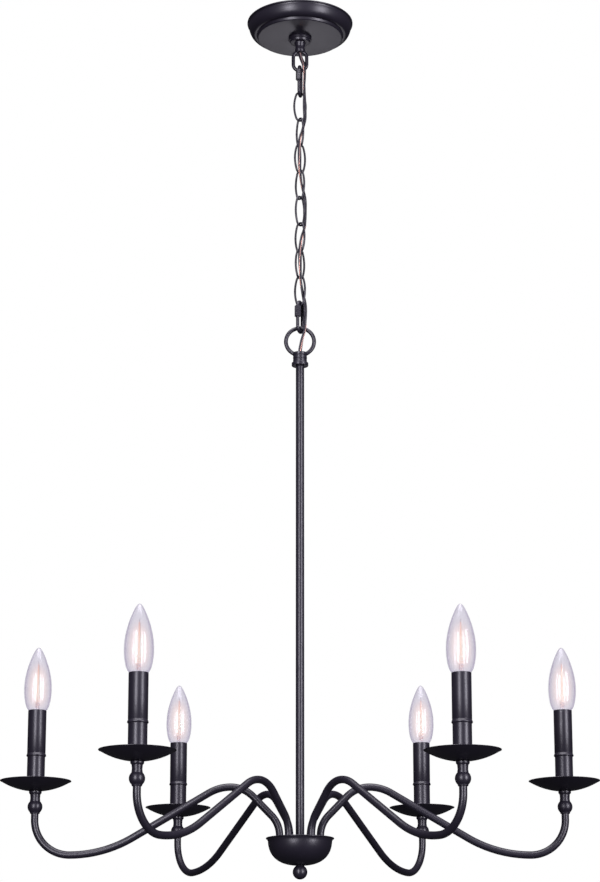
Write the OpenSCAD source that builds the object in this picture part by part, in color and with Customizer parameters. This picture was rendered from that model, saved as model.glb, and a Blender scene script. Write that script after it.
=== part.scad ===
// Six-light candle chandelier on a chain.
// Origin: centre of the ceiling plane. +Z is up, the fixture hangs below, +X runs through arm 1.

/* [Overall] */
// Radius of the ring that the six candles stand on
candle_ring_r = 335.7; // [320:0.1:350]
// Distance from the ceiling down to the rim plane of the drip pans
drop_h = 1041; // [1036:1:1046]
// Angle of the two front arms away from the side-to-side line
front_fan = 56.1; // [55:0.1:62]
// Angle of the two back arms away from the side-to-side line
back_fan = 59.6; // [55:0.1:62]

/* [Canopy] */
// Radius of the canopy at its ceiling rim
canopy_r = 72; // [66:1:78]
// Height of the canopy
canopy_h = 22; // [20:1:26]
// Thickness of pressed sheet parts
sheet_t = 1.2; // [1:0.1:1.6]

/* [Loop and chain] */
// Wire diameter of the canopy loop
loop_wire = 4.8; // [4:0.1:5.2]
// Wire diameter of the quick links
quick_wire = 4.6; // [4:0.1:5]
// Overall length of a quick link
quick_len = 46; // [44:0.5:50]
// Wire diameter of the chain links
link_wire = 2.8; // [2.4:0.1:3.2]
// Overall length of a chain link
link_len = 43.5; // [42:0.5:45]
// Overall width of a chain link
link_w = 18.8; // [17:0.2:21]
// Gap left where two links hang in each other
link_gap = 0.3; // [0.2:0.05:0.4]

/* [Stem and hub] */
// Outside diameter of the stem
stem_d = 11; // [10:0.5:12]
// Radius of the hub cup at its rim
cup_r = 43.3; // [41:0.1:46]
// Depth of the hub cup
cup_h = 34.6; // [32:0.2:37]
// Radius at which the arms stand in the hub
hub_arm_r = 25.8; // [24:0.1:27]

/* [Arms] */
// Outside diameter of the arm tube
arm_d = 9.5; // [8:0.5:10]
// Bore of the arm tube
arm_bore = 7.3; // [6:0.1:7.5]
// Radius of the bend below each candle
candle_bend_r = 44.7; // [42:0.1:48]
// Radius of the long sweep in the low part of the arm
sweep_r = 156; // [145:1:165]
// Radius of the crown on its outer side
crown_out_r = 54; // [50:1:58]
// Radius of the crown on its inner side
crown_in_r = 40; // [37:1:43]
// Radius of the bend where the arm rises out of the hub
root_bend_r = 36; // [33:1:39]

/* [Candles] */
// Radius of the drip pans
pan_r = 45.3; // [42:0.1:48]
// Depth of the drip pans
pan_depth = 13.2; // [11:0.2:15]
// Outside diameter of the candle sleeves
sleeve_d = 23.3; // [22:0.1:25]
// Height of the sleeve top above the pan rim
sleeve_top = 90; // [80:1:100]
// Largest diameter of the bulbs
bulb_d = 35; // [33:0.5:37]
// Height of the bulb tip above the pan rim
bulb_tip = 171.6; // [165:0.2:178]

/* [Hidden] */
arms = 6;
links = 8;
arm_angles = [0, back_fan, 180 - back_fan, 180, 180 + front_fan, 360 - front_fan];
link_yaws = [12, -56, 32, -45, 45, -41, 45, -34]; // how each link is turned about the chain's line
top_link_yaw = 80;
bottom_link_yaw = 65;
pan_z = -drop_h;
fit = 0.05;        // clearance of a threaded or sliding fit
slim = 0.02;       // how much thinner every second stretch of a bent rod is, so that laps are clean
arm_slim = 0.14;   // the same for the arm tubes, whose larger round needs more
lap = 0.2;         // how far such a stretch runs into its neighbours
black = "#1f1c26";

// Ceiling hardware
strap_l = 104;
strap_w = 16;
strap_t = 1.6;
slot_x = 35;       // distance of each ceiling slot from the centre
slot_w = 4.6;
slot_l = 16;
ground_x = 17;     // the earth screw
nipple_r = 5;
nipple_bore = 3.8;
nipple_h = 20;
nut_af = 16;       // across the flats of the strap nut
nut_h = 4;
barrel_r = 12;     // threaded barrel of the canopy loop
barrel_top = -10;
collar_r = 15.7;
collar_h = 4;
collar_cone_h = 3;
neck_r = 6.85;
neck_h = 12;

// Canopy loop: an upright ring with straight sides
loop_w = 23;
loop_bottom = -72;
loop_r = (loop_w - loop_wire) / 2;
loop_low_z = loop_bottom + loop_wire / 2 + loop_r;
loop_side = 10;

// Chain: each link's upper wire rests in the one above it
quick_w = 19;
quick_r = (quick_w - quick_wire) / 2;
quick_hh = (quick_len - quick_wire) / 2;
link_hw = (link_w - link_wire) / 2;
link_hh = (link_len - link_wire) / 2;
link_end_r = 5.5;
link_side_r = (link_hw * link_hw + pow(link_hh - link_end_r, 2) - link_end_r * link_end_r)
    / (2 * (link_hw - link_end_r));
link_side_a = asin((link_hh - link_end_r) / (link_side_r - link_end_r));
function hang(wire_a, wire_b) = (wire_a + wire_b) / 2 + link_gap;
top_link_z = loop_bottom + loop_wire / 2 + hang(loop_wire, quick_wire) - quick_hh;
first_link_z = top_link_z - quick_hh + hang(quick_wire, link_wire) - link_hh;
link_pitch = 2 * link_hh - hang(link_wire, link_wire);
last_link_z = first_link_z - (links - 1) * link_pitch;
bottom_link_z = last_link_z - link_hh + hang(link_wire, quick_wire) - quick_hh;
gate_gap = 8;      // opening in a quick link's side
gate_z = 2;        // height of the opening's lower edge above the link's middle
gate_nut_h = 14.4;
gate_nut_r = 4.6;

// Hanging ring and its collar
ring_wire = 5.3;
ring_r = 18.65;
ring_z = bottom_link_z - quick_hh + hang(quick_wire, ring_wire) - ring_r;
ring_collar_r = 9.2;
ring_collar_top = ring_z - ring_r + 3;
ring_collar_h = 13.5;
ring_flange_r = 11;
ring_flange_h = 4.8;

// Hub
cup_z = pan_z - 72.6;
cup_lip_r = 40.7;
cup_steps = 14;
cup_power = 2.5;   // how square the bowl's side is: 2 would be an ellipse
plate_z = cup_z - 17;
plate_r = 34;
plate_t = 3;
arm_end_z = plate_z - 6;
stem_end_z = plate_z - 12;
stem_bore = 7;
finial_r = 9.25;
wire_d = 3;        // the pair of leads in each arm

// Arm centre line, in the plane of radius and height
low_z = pan_z - 94.1;
low_r = candle_ring_r - candle_bend_r;
crown_z = pan_z - 8.2;
crown_r = 88;
root_z = pan_z - 69.5;
root_r = hub_arm_r + root_bend_r;
sweep_dr = low_r - crown_r;
sweep_dz = low_z + sweep_r - crown_z + crown_out_r;
out_a = asin((sweep_r + crown_out_r) / norm([sweep_dr, sweep_dz])) - atan2(sweep_dz, sweep_dr);
rise_dr = crown_r - root_r;
rise_dz = crown_z - crown_in_r - root_z;
in_a = atan2(rise_dz, rise_dr) + asin((crown_in_r - root_bend_r) / norm([rise_dr, rise_dz]));

// Supply cord: out of the canopy loop, beside and through the links, and down inside the stem
cord_d = 4.4;
cord_sides = 8;
cord_route = [[0, 0, -0.5], [0, 0, -20], [0, 0, -38], [0, 0, -46], [2, -3, -54], [4.6, -5.4, -62],
    [6, -4.8, -72], [6.4, -4.4, -88], [6, -3.8, -104], [6.2, -3.2, -122], [6.6, -2.8, -141],
    [4.9, -1.4, -150], [2, -2.8, -160], [-0.2, -4.6, -169], [-0.8, -6.6, -179], [-0.6, -7.2, -197],
    [-0.2, -6.6, -216], [2.6, -2.6, -235], [6.3, 0.2, -254], [6.6, 0.2, -273], [6.4, 0.6, -292],
    [4.6, 0.3, -300], [2.2, -2.2, -310], [0.2, -6.4, -329], [0, -7.2, -348], [1, -6.2, -367],
    [3, -2.2, -386], [6.5, 1.8, -404], [7, -1, -422], [6, -6, -441], [2.4, -6.4, -457],
    [0.2, -5.2, -470], [0, -5.1, -477.5], [0, -4.1, -481.5], [0, -2.4, -485.5], [0, -0.8, -490],
    [0, 0, -498], [0, 0, -520], [0, 0, -580], [0, 0, -760], [0, 0, -1118]];

// Candle
knuckle_top = -pan_depth - 0.05;
knuckle_ball_z = -33.2;
knuckle_ball_r = 9.4;
knuckle_neck_r = 6.5;
pan_sphere_r = (pan_r * pan_r + pan_depth * pan_depth) / (2 * pan_depth);
sleeve_r = sleeve_d / 2;
sleeve_t = 0.75;
sleeve_low_r = 11.25;
bead_z = 32;
bead_r = 1.5;
socket_nipple_r = 4.8;
socket_r = 9.3;
socket_top = 66;
shell_r = 7;
base_r = 6;

// ---- shared shapes ----

// An arc in the X-Z plane about the origin, angles from +X towards +Z, longer by over at each end
module arc_xz(r, from, to, over = 0) {
    extra = over / r * 180 / PI;
    rotate([90, 0, 0])
        rotate([0, 0, from - extra])
            rotate_extrude(angle = to - from + 2 * extra, $fn = 96)
                translate([r, 0]) children();
}

// A straight stretch in the X-Z plane, longer by over at each end
module run_xz(from, to, over = 0) {
    along = to - from;
    translate([from[0], 0, from[1]])
        rotate([0, atan2(along[0], along[1]), 0])
            translate([0, 0, -over]) linear_extrude(norm(along) + 2 * over) children();
}

module wire_section(d) {
    circle(d = d, $fn = 32);
}

module tube_section(d, bore) {
    difference() {
        circle(d = d, $fn = 32);
        circle(d = bore, $fn = 32);
    }
}

module hex_nut(af, h, bore_r) {
    difference() {
        cylinder(r = af / 2 / cos(30), h = h, $fn = 6);
        translate([0, 0, -1]) cylinder(r = bore_r, h = h + 2, $fn = 48);
    }
}

module at_candle(i) {
    rotate([0, 0, arm_angles[i]]) translate([candle_ring_r, 0, pan_z]) children();
}

module each_candle() {
    for (i = [0 : arms - 1]) at_candle(i) children();
}

// ---- ceiling hardware ----

module strap() {
    color("silver")
    translate([0, 0, -strap_t])
        linear_extrude(strap_t) difference() {
            square([strap_l, strap_w], center = true);
            circle(r = nipple_r + fit, $fn = 48);
            for (side = [-1, 1]) {
                translate([side * slot_x, 0]) square([slot_l - slot_w, slot_w], center = true);
                for (end = [-1, 1])
                    translate([side * slot_x + end * (slot_l - slot_w) / 2, 0])
                        circle(d = slot_w, $fn = 32);
            }
            translate([ground_x, 0]) circle(r = 2, $fn = 32);
        }
}

module strap_nut() {
    color("silver")
    translate([0, 0, -strap_t - nut_h]) hex_nut(nut_af, nut_h, nipple_r + fit);
}

module ground_screw() {
    color("green")
    translate([ground_x, 0, 0]) {
        translate([0, 0, -strap_t - 7]) cylinder(r = 1.9, h = 7 + strap_t, $fn = 32);
        translate([0, 0, -strap_t - 1.2]) cylinder(r = 4.6, h = 1.2, $fn = 48);
        translate([0, 0, -strap_t - 4.2]) cylinder(r = 3.8, h = 3, $fn = 6);
    }
}

module nipple() {
    color("silver")
    translate([0, 0, -nipple_h])
        linear_extrude(nipple_h) tube_section(2 * nipple_r, 2 * nipple_bore);
}

// Sheet bowl, rim up: a lip, a rounded side, a small step and a flat face
module canopy() {
    lip_h = 1.6;
    lip_w = 2;
    side_top = 2.4;
    side_w = 9;
    step_h = 4;
    step_w = 3.5;
    side_h = canopy_h - side_top - step_h;
    side_r = canopy_r - lip_w - side_w;
    face_r = side_r - step_w;
    hole_r = barrel_r + 0.5;
    steps = 10;
    outside = [for (k = [0 : steps])
        [side_r + side_w * cos(90 * k / steps), -side_top - side_h * sin(90 * k / steps)]];
    inside = [for (k = [steps : -1 : 0])
        [side_r + (side_w - sheet_t) * cos(90 * k / steps),
            -side_top - (side_h - sheet_t) * sin(90 * k / steps)]];
    color(black)
    rotate_extrude($fn = 128) polygon(concat(
        [[canopy_r, 0], [canopy_r, -lip_h]],
        outside,
        [[face_r + 1, -canopy_h + step_h], [face_r, -canopy_h + step_h - 1], [face_r, -canopy_h + 1],
            [face_r - 1, -canopy_h], [hole_r, -canopy_h], [hole_r, -canopy_h + sheet_t],
            [face_r - sheet_t, -canopy_h + sheet_t], [face_r - sheet_t, -canopy_h + step_h + sheet_t]],
        inside,
        [[canopy_r - lip_w - sheet_t, 0]]));
}

module collar_nut() {
    bore_r = barrel_r + fit;
    color(black)
    translate([0, 0, -canopy_h])
        rotate_extrude($fn = 96) polygon([[bore_r, 0], [collar_r, 0], [collar_r, -collar_h + 1],
            [collar_r - 1, -collar_h], [barrel_r + 2.2, -collar_h],
            [barrel_r + 1.2, -collar_h - collar_cone_h], [bore_r, -collar_h - collar_cone_h]]);
}

// Barrel, neck and upright loop in one piece, bored through for the cord
module canopy_loop() {
    barrel_low = -canopy_h - collar_h - collar_cone_h;
    color(black)
    difference() {
        union() {
            translate([0, 0, barrel_low]) cylinder(r = barrel_r, h = barrel_top - barrel_low, $fn = 96);
            translate([0, 0, barrel_low - neck_h]) cylinder(r = neck_r, h = neck_h, $fn = 64);
            translate([0, 0, loop_low_z]) arc_xz(loop_r, 180, 360) wire_section(loop_wire);
            for (side = [-1, 1])
                translate([side * loop_r, 0, loop_low_z])
                    cylinder(d = loop_wire, h = loop_side, $fn = 32);
            translate([0, 0, loop_low_z + loop_side])
                arc_xz(loop_r, 0, 180) wire_section(loop_wire);
        }
        translate([0, 0, -20]) cylinder(r = nipple_r + fit, h = 20, $fn = 48);
        translate([0, 0, -50]) cylinder(r = 3.2, h = 50, $fn = 48);
    }
}

// ---- chain ----

// A quick link about its own middle, with the opening that its nut closes on the -X side
module quick_link() {
    side_h = quick_hh - quick_r;
    for (end = [0, 1])
        translate([0, 0, end ? side_h : -side_h])
            arc_xz(quick_r, end ? 0 : 180, end ? 180 : 360) wire_section(quick_wire);
    translate([quick_r, 0, -side_h]) cylinder(d = quick_wire, h = 2 * side_h, $fn = 32);
    translate([-quick_r, 0, -side_h]) cylinder(d = quick_wire, h = side_h + gate_z, $fn = 32);
    translate([-quick_r, 0, gate_z + gate_gap])
        cylinder(d = quick_wire, h = side_h - gate_z - gate_gap, $fn = 32);
}

module quick_nut() {
    translate([-quick_r, 0, gate_z - 3])
        hex_nut(gate_nut_r * 2 * cos(30), gate_nut_h, quick_wire / 2 + fit);
}

module top_link() {
    color(black) translate([0, 0, top_link_z]) rotate([0, 0, top_link_yaw]) quick_link();
}

module top_link_nut() {
    color(black) translate([0, 0, top_link_z]) rotate([0, 0, top_link_yaw]) quick_nut();
}

module bottom_link() {
    color(black) translate([0, 0, bottom_link_z]) rotate([0, 0, bottom_link_yaw]) quick_link();
}

module bottom_link_nut() {
    color(black) translate([0, 0, bottom_link_z]) rotate([0, 0, bottom_link_yaw]) quick_nut();
}

// A pointed oval of round wire: two tight ends joined by two long side arcs
module chain_link(n) {
    end_a = 90 - link_side_a;
    color(black)
    translate([0, 0, first_link_z - (n - 1) * link_pitch]) rotate([0, 0, link_yaws[n - 1]]) {
        for (end = [-1, 1])
            translate([0, 0, end * (link_hh - link_end_r)])
                arc_xz(link_end_r, end * 90 - end_a, end * 90 + end_a, lap)
                    wire_section(link_wire - slim);
        for (side = [-1, 1])
            translate([side * (link_hw - link_side_r), 0, 0])
                arc_xz(link_side_r, 90 - side * 90 - link_side_a, 90 - side * 90 + link_side_a)
                    wire_section(link_wire);
    }
}

// ---- supply cord ----

// A point of the cord's smooth line: u counts along the route's points
function route_at(u) =
    let (n = len(cord_route) - 1, i = min(floor(u), n - 1), t = u - i,
        a = cord_route[max(i - 1, 0)], b = cord_route[i],
        c = cord_route[i + 1], d = cord_route[min(i + 2, n)])
    (2 * b + (c - a) * t + (2 * a - 5 * b + 4 * c - d) * t * t + (3 * b - a - 3 * c + d) * t * t * t) / 2;

module supply_cord() {
    rings = 2 * (len(cord_route) - 1);
    points = [for (k = [0 : rings]) let (
            p = route_at(k / 2),
            along = route_at(min(k / 2 + 0.1, rings / 2)) - route_at(max(k / 2 - 0.1, 0)),
            side = cross([0, 1, 0], along),
            u = side / norm(side),
            v = cross(along, u) / norm(along))
        for (s = [0 : cord_sides - 1])
            p + cord_d / 2 * (cos(360 * s / cord_sides) * u + sin(360 * s / cord_sides) * v)];
    skin = [for (k = [0 : rings - 1], s = [0 : cord_sides - 1])
        let (next = (s + 1) % cord_sides, low = k * cord_sides)
        each [[low + s, low + next, low + cord_sides + next],
            [low + s, low + cord_sides + next, low + cord_sides + s]]];
    color("#2a2520")
    polyhedron(points, concat(
        [[for (s = [cord_sides - 1 : -1 : 0]) s]],
        skin,
        [[for (s = [0 : cord_sides - 1]) rings * cord_sides + s]]));
}

// ---- hanging ring and stem ----

module hanging_ring() {
    color(black)
    translate([0, 0, ring_z]) rotate([90, 0, 0])
        rotate_extrude($fn = 128) translate([ring_r, 0]) wire_section(ring_wire);
}

// Socket that grips the ring's foot: the cord goes down in front of the ring and into the stem
module ring_collar() {
    low = ring_collar_top - ring_collar_h;
    groove = 0.5;
    band_h = 3.9;
    band_pitch = 4.8;
    hole_y = -5.2;
    color(black)
    difference() {
        union() {
            translate([0, 0, low - 1]) cylinder(r = ring_collar_r - groove, h = ring_collar_h + 1, $fn = 64);
            for (band = [0 : 2])
                translate([0, 0, low + band * band_pitch])
                    cylinder(r = ring_collar_r, h = band_h, $fn = 64);
            translate([0, 0, low - ring_flange_h])
                cylinder(r = ring_flange_r, h = ring_flange_h, $fn = 64);
        }
        translate([0, 0, ring_z]) rotate([90, 0, 0])
            rotate_extrude($fn = 128) translate([ring_r, 0]) circle(d = ring_wire + 2 * fit, $fn = 32);
        translate([0, 0, low - ring_flange_h - 1])
            cylinder(r = stem_d / 2 + fit, h = ring_flange_h + 1, $fn = 64);
        translate([0, 0, low - 0.1]) cylinder(r = 7.5, h = 7.6, $fn = 64);
        translate([0, hole_y, low + 7]) cylinder(r = 2.6, h = ring_collar_h, $fn = 32);
    }
}

module stem() {
    top = ring_collar_top - ring_collar_h - 0.2;
    color(black)
    difference() {
        translate([0, 0, stem_end_z]) cylinder(d = stem_d, h = top - stem_end_z, $fn = 64);
        translate([0, 0, stem_end_z - 1]) cylinder(d = stem_bore, h = top - stem_end_z + 2, $fn = 48);
        translate([0, 0, top - 4]) cylinder(d1 = stem_bore, d2 = stem_d - 1, h = 4.01, $fn = 48);
        translate([0, 0, plate_z + 9]) rotate([0, 90, 0]) cylinder(d = 5, h = stem_d, $fn = 32);
    }
}

// ---- hub ----

// Half outline of the bowl below its lip, from rim to middle
function bowl_outline(r, h) = [for (k = [0 : cup_steps])
    let (s = pow(sin(90 * k / cup_steps), 2 / cup_power), c = pow(cos(90 * k / cup_steps), 2 / cup_power))
    [r * c, -h * s]];

module hub_cup() {
    hole_r = 4.3;
    color(black)
    translate([0, 0, cup_z])
        rotate_extrude($fn = 128) difference() {
            union() {
                polygon(concat([[0, 0]], bowl_outline(cup_lip_r, cup_h)));
                polygon([[cup_lip_r - 4, 0], [cup_r, 0], [cup_r - 0.3, -1], [cup_lip_r, -3.4],
                    [cup_lip_r - 4, -3.4]]);
            }
            translate([0, 0.01])
                polygon(concat([[0, 0]], bowl_outline(cup_lip_r - sheet_t, cup_h - sheet_t)));
            translate([-1, -cup_h - 1]) square([hole_r + 1, cup_h + 2]);
            translate([0, -1.2]) square([cup_lip_r - sheet_t + 0.4, 2]);
        }
}

module arm_plate() {
    color("silver")
    translate([0, 0, plate_z])
        linear_extrude(plate_t) difference() {
            circle(r = plate_r, $fn = 96);
            circle(r = stem_d / 2 + fit, $fn = 64);
            for (a = arm_angles) rotate(a) translate([hub_arm_r, 0]) circle(r = arm_d / 2 + fit, $fn = 48);
            for (a = [back_fan / 2, 180 + front_fan / 2]) rotate(a) translate([14, 0]) circle(r = 3, $fn = 32);
        }
}

module hub_nuts() {
    color("silver")
    for (z = [plate_z + plate_t, plate_z - 4])
        translate([0, 0, z]) hex_nut(16, 4, stem_d / 2 + fit);
}

module arm_nuts() {
    color("silver")
    for (a = arm_angles)
        rotate([0, 0, a]) translate([hub_arm_r, 0, plate_z - 3.5]) hex_nut(13, 3.5, arm_d / 2 + fit);
}

module finial() {
    ball_z = cup_z - cup_h - 8.3;
    color(black) {
        translate([0, 0, ball_z]) sphere(r = finial_r, $fn = 96);
        translate([0, 0, ball_z]) cylinder(r = 5.2, h = 8.3, $fn = 64);
        translate([0, 0, ball_z]) cylinder(r = 3.3, h = stem_end_z - ball_z + 10, $fn = 48);
    }
}

// ---- arms ----

// The arm's centre line from its end in the hub to its end in the knuckle. The first child is the
// section of every odd stretch, the second that of the slimmer ones between, which lap into them.
module arm_path(hub_end, candle_end) {
    run_xz([hub_arm_r, hub_end], [hub_arm_r, root_z]) children(0);
    translate([root_r, 0, root_z]) arc_xz(root_bend_r, 90 + in_a, 180, lap) children(1);
    run_xz([root_r - root_bend_r * sin(in_a), root_z + root_bend_r * cos(in_a)],
        [crown_r - crown_in_r * sin(in_a), crown_z - crown_in_r * (1 - cos(in_a))]) children(0);
    translate([crown_r, 0, crown_z - crown_in_r]) arc_xz(crown_in_r, 90, 90 + in_a, lap) children(1);
    translate([crown_r, 0, crown_z - crown_out_r]) arc_xz(crown_out_r, 90 - out_a, 90) children(0);
    run_xz([crown_r + crown_out_r * sin(out_a), crown_z - crown_out_r * (1 - cos(out_a))],
        [low_r - sweep_r * sin(out_a), low_z + sweep_r * (1 - cos(out_a))], lap) children(1);
    translate([low_r, 0, low_z + sweep_r]) arc_xz(sweep_r, 270 - out_a, 270) children(0);
    translate([low_r, 0, low_z + candle_bend_r]) arc_xz(candle_bend_r, 270, 360, lap) children(1);
    run_xz([candle_ring_r, low_z + candle_bend_r], [candle_ring_r, candle_end]) children(0);
}

module arm(i) {
    color(black)
    rotate([0, 0, arm_angles[i]])
        arm_path(arm_end_z, pan_z + knuckle_ball_z + 6) {
            tube_section(arm_d, arm_bore);
            tube_section(arm_d - arm_slim, arm_bore + arm_slim);
        }
}

module arm_wires() {
    color("saddlebrown")
    for (a = arm_angles)
        rotate([0, 0, a]) arm_path(arm_end_z - 3, pan_z + 4) {
            wire_section(wire_d);
            wire_section(wire_d - slim);
        }
}

// ---- candles ----

// Turned piece between arm and pan: a flange, a neck and a ball
module knuckles() {
    color(black)
    each_candle() difference() {
        union() {
            translate([0, 0, knuckle_top - 3]) cylinder(r = 8, h = 3, $fn = 64);
            translate([0, 0, knuckle_ball_z])
                cylinder(r = knuckle_neck_r, h = knuckle_top - knuckle_ball_z, $fn = 64);
            translate([0, 0, knuckle_ball_z]) sphere(r = knuckle_ball_r, $fn = 96);
        }
        translate([0, 0, knuckle_ball_z - 12]) cylinder(r = arm_d / 2 + fit, h = 18 + fit, $fn = 64);
        translate([0, 0, knuckle_ball_z]) cylinder(r = 4, h = 40, $fn = 64);
        translate([0, 0, -24]) cylinder(r = socket_nipple_r + fit, h = 20, $fn = 64);
    }
}

module pan(i) {
    color(black)
    at_candle(i)
        translate([0, 0, pan_sphere_r - pan_depth])
            difference() {
                sphere(r = pan_sphere_r, $fn = 128);
                sphere(r = pan_sphere_r - sheet_t, $fn = 128);
                translate([0, 0, pan_depth - pan_sphere_r])
                    cylinder(r = 2 * pan_sphere_r, h = 3 * pan_sphere_r, $fn = 128);
                translate([0, 0, -2 * pan_sphere_r])
                    cylinder(r = socket_nipple_r + fit, h = 2 * pan_sphere_r, $fn = 64);
            }
}

module sleeve(i) {
    seat_z = sheet_t + 0.35 + pow(sleeve_r, 2) / (2 * pan_sphere_r) - pan_depth;
    color(black)
    at_candle(i)
        rotate_extrude($fn = 96) difference() {
            union() {
                translate([0, bead_z]) square([sleeve_r, sleeve_top - bead_z]);
                translate([0, seat_z]) square([sleeve_low_r, bead_z - seat_z]);
                translate([sleeve_r - 0.6, bead_z]) circle(r = bead_r, $fn = 32);
                polygon([[0, seat_z], [sleeve_r, seat_z], [sleeve_low_r, seat_z + 8], [0, seat_z + 8]]);
            }
            translate([-1, seat_z - 1]) square([sleeve_low_r - sleeve_t + 1, sleeve_top - seat_z + 2]);
        }
}

module socket_nipples() {
    color("silver")
    each_candle() translate([0, 0, -22]) linear_extrude(32) tube_section(2 * socket_nipple_r, 7);
}

module sockets() {
    color("dimgray")
    each_candle() difference() {
        union() {
            translate([0, 0, 14]) cylinder(r = socket_r, h = socket_top - 14, $fn = 64);
            translate([0, 0, 2]) cylinder(r = 7.2, h = 12.5, $fn = 64);
        }
        translate([0, 0, 40]) cylinder(r = shell_r + fit, h = 40, $fn = 64);
        cylinder(r = socket_nipple_r + fit, h = 11, $fn = 64);
        translate([0, 0, 10]) cylinder(r = 3, h = 27, $fn = 32);
    }
}

module socket_shells() {
    color("goldenrod")
    each_candle() difference() {
        translate([0, 0, 42]) cylinder(r = shell_r, h = socket_top - 42, $fn = 64);
        translate([0, 0, 43]) cylinder(r = base_r + 0.3, h = 40, $fn = 64);
    }
}

// Half outline of the glass from its neck to its tip, drawn in by wall
function glass_outline(wall) =
    let (neck_z = sleeve_top + 0.1, neck_r = sleeve_low_r - sleeve_t - 0.35 - wall,
        belly_z = sleeve_top + 0.34 * (bulb_tip - sleeve_top), belly_r = bulb_d / 2 - wall)
    concat([[neck_r, neck_z - 8]],
        [for (k = [0 : 6]) [neck_r + (belly_r - neck_r) * sin(15 * k),
            neck_z + (belly_z - neck_z) * (1 - cos(15 * k))]],
        [for (k = [1 : 10]) let (a = 9 * k)
            [belly_r * pow(cos(a), 0.8) * (1 - 0.5 * sin(a) * sin(a)),
                belly_z + (bulb_tip - wall - belly_z) * sin(a)]]);

// Hollow glass on a screw base, in one piece of revolution
module bulb(i) {
    base_low = 44;
    base_top = 68;
    wall = 1;
    color("lavender")
    at_candle(i)
        rotate_extrude($fn = 96) difference() {
            polygon(concat([[0, base_low], [3, base_low], [base_r, base_low + 2], [base_r, base_top],
                [base_r + 1, base_top + 2]], glass_outline(0)));
            polygon(concat([[0, base_top + 2], [base_r - 1, base_top + 3]], glass_outline(wall)));
        }
}

strap();
strap_nut();
ground_screw();
nipple();
canopy();
collar_nut();
canopy_loop();
top_link();
top_link_nut();
chain_link(1);  // chain_link_1
chain_link(2);  // chain_link_2
chain_link(3);  // chain_link_3
chain_link(4);  // chain_link_4
chain_link(5);  // chain_link_5
chain_link(6);  // chain_link_6
chain_link(7);  // chain_link_7
chain_link(8);  // chain_link_8
bottom_link();
bottom_link_nut();
supply_cord();
hanging_ring();
ring_collar();
stem();
hub_cup();
arm_plate();
hub_nuts();
arm_nuts();
finial();
arm(0);  // arm_1
arm(1);  // arm_2
arm(2);  // arm_3
arm(3);  // arm_4
arm(4);  // arm_5
arm(5);  // arm_6
arm_wires();
knuckles();
pan(0);  // pan_1
pan(1);  // pan_2
pan(2);  // pan_3
pan(3);  // pan_4
pan(4);  // pan_5
pan(5);  // pan_6
sleeve(0);  // sleeve_1
sleeve(1);  // sleeve_2
sleeve(2);  // sleeve_3
sleeve(3);  // sleeve_4
sleeve(4);  // sleeve_5
sleeve(5);  // sleeve_6
socket_nipples();
sockets();
socket_shells();
bulb(0);  // bulb_1
bulb(1);  // bulb_2
bulb(2);  // bulb_3
bulb(3);  // bulb_4
bulb(4);  // bulb_5
bulb(5);  // bulb_6
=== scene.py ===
from math import asin, atan2, cos, degrees, hypot, pi, radians, sin, tan
import bmesh
import bpy
from mathutils import Matrix, Vector


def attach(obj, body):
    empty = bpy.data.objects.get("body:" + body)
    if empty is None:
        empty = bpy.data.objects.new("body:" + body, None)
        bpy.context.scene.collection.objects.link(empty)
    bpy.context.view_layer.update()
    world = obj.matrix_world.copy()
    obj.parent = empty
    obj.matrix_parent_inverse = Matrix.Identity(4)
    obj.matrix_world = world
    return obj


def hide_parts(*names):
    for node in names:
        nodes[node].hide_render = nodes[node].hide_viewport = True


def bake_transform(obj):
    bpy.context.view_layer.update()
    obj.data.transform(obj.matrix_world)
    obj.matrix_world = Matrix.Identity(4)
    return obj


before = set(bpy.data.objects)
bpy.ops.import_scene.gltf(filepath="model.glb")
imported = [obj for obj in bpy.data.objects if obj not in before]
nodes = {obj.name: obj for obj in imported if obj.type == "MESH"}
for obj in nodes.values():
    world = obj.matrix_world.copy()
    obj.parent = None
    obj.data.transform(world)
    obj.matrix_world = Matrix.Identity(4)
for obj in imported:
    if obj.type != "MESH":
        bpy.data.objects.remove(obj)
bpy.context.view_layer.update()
mm = 0.001
bellBase = 2.718  # base of every bell curve below

shot = {"lens": 93.88, "shiftUp": 0.136, "place": (0, -2.910, -1.4153), "tiltUp": 12.787}


def makeCamera():
    data = bpy.data.cameras.new("camera")
    data.lens = shot["lens"]
    data.shift_y = shot["shiftUp"]
    data.clip_end = 60
    camera = bpy.data.objects.new("camera", data)
    camera.location = shot["place"]
    camera.rotation_euler = (radians(90 + shot["tiltUp"]), 0, 0)
    bpy.context.scene.collection.objects.link(camera)
    bpy.context.scene.camera = camera


makeCamera()


class Signal:  # one socket, so that shader maths reads as plain expressions
    def __init__(self, recipe, socket):
        self.recipe = recipe
        self.socket = socket

    def maths(self, operation, first, second):
        return self.recipe.add("Math", {"operation": operation}, {0: first, 1: second})

    def __add__(self, other):
        return self.maths("ADD", self, other)

    def __radd__(self, other):
        return self.maths("ADD", other, self)

    def __sub__(self, other):
        return self.maths("SUBTRACT", self, other)

    def __rsub__(self, other):
        return self.maths("SUBTRACT", other, self)

    def __mul__(self, other):
        return self.maths("MULTIPLY", self, other)

    def __rmul__(self, other):
        return self.maths("MULTIPLY", other, self)

    def __truediv__(self, other):
        return self.maths("DIVIDE", self, other)

    def __pow__(self, other):
        return self.maths("POWER", self, other)

    def __rpow__(self, other):
        return self.maths("POWER", other, self)


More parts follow.
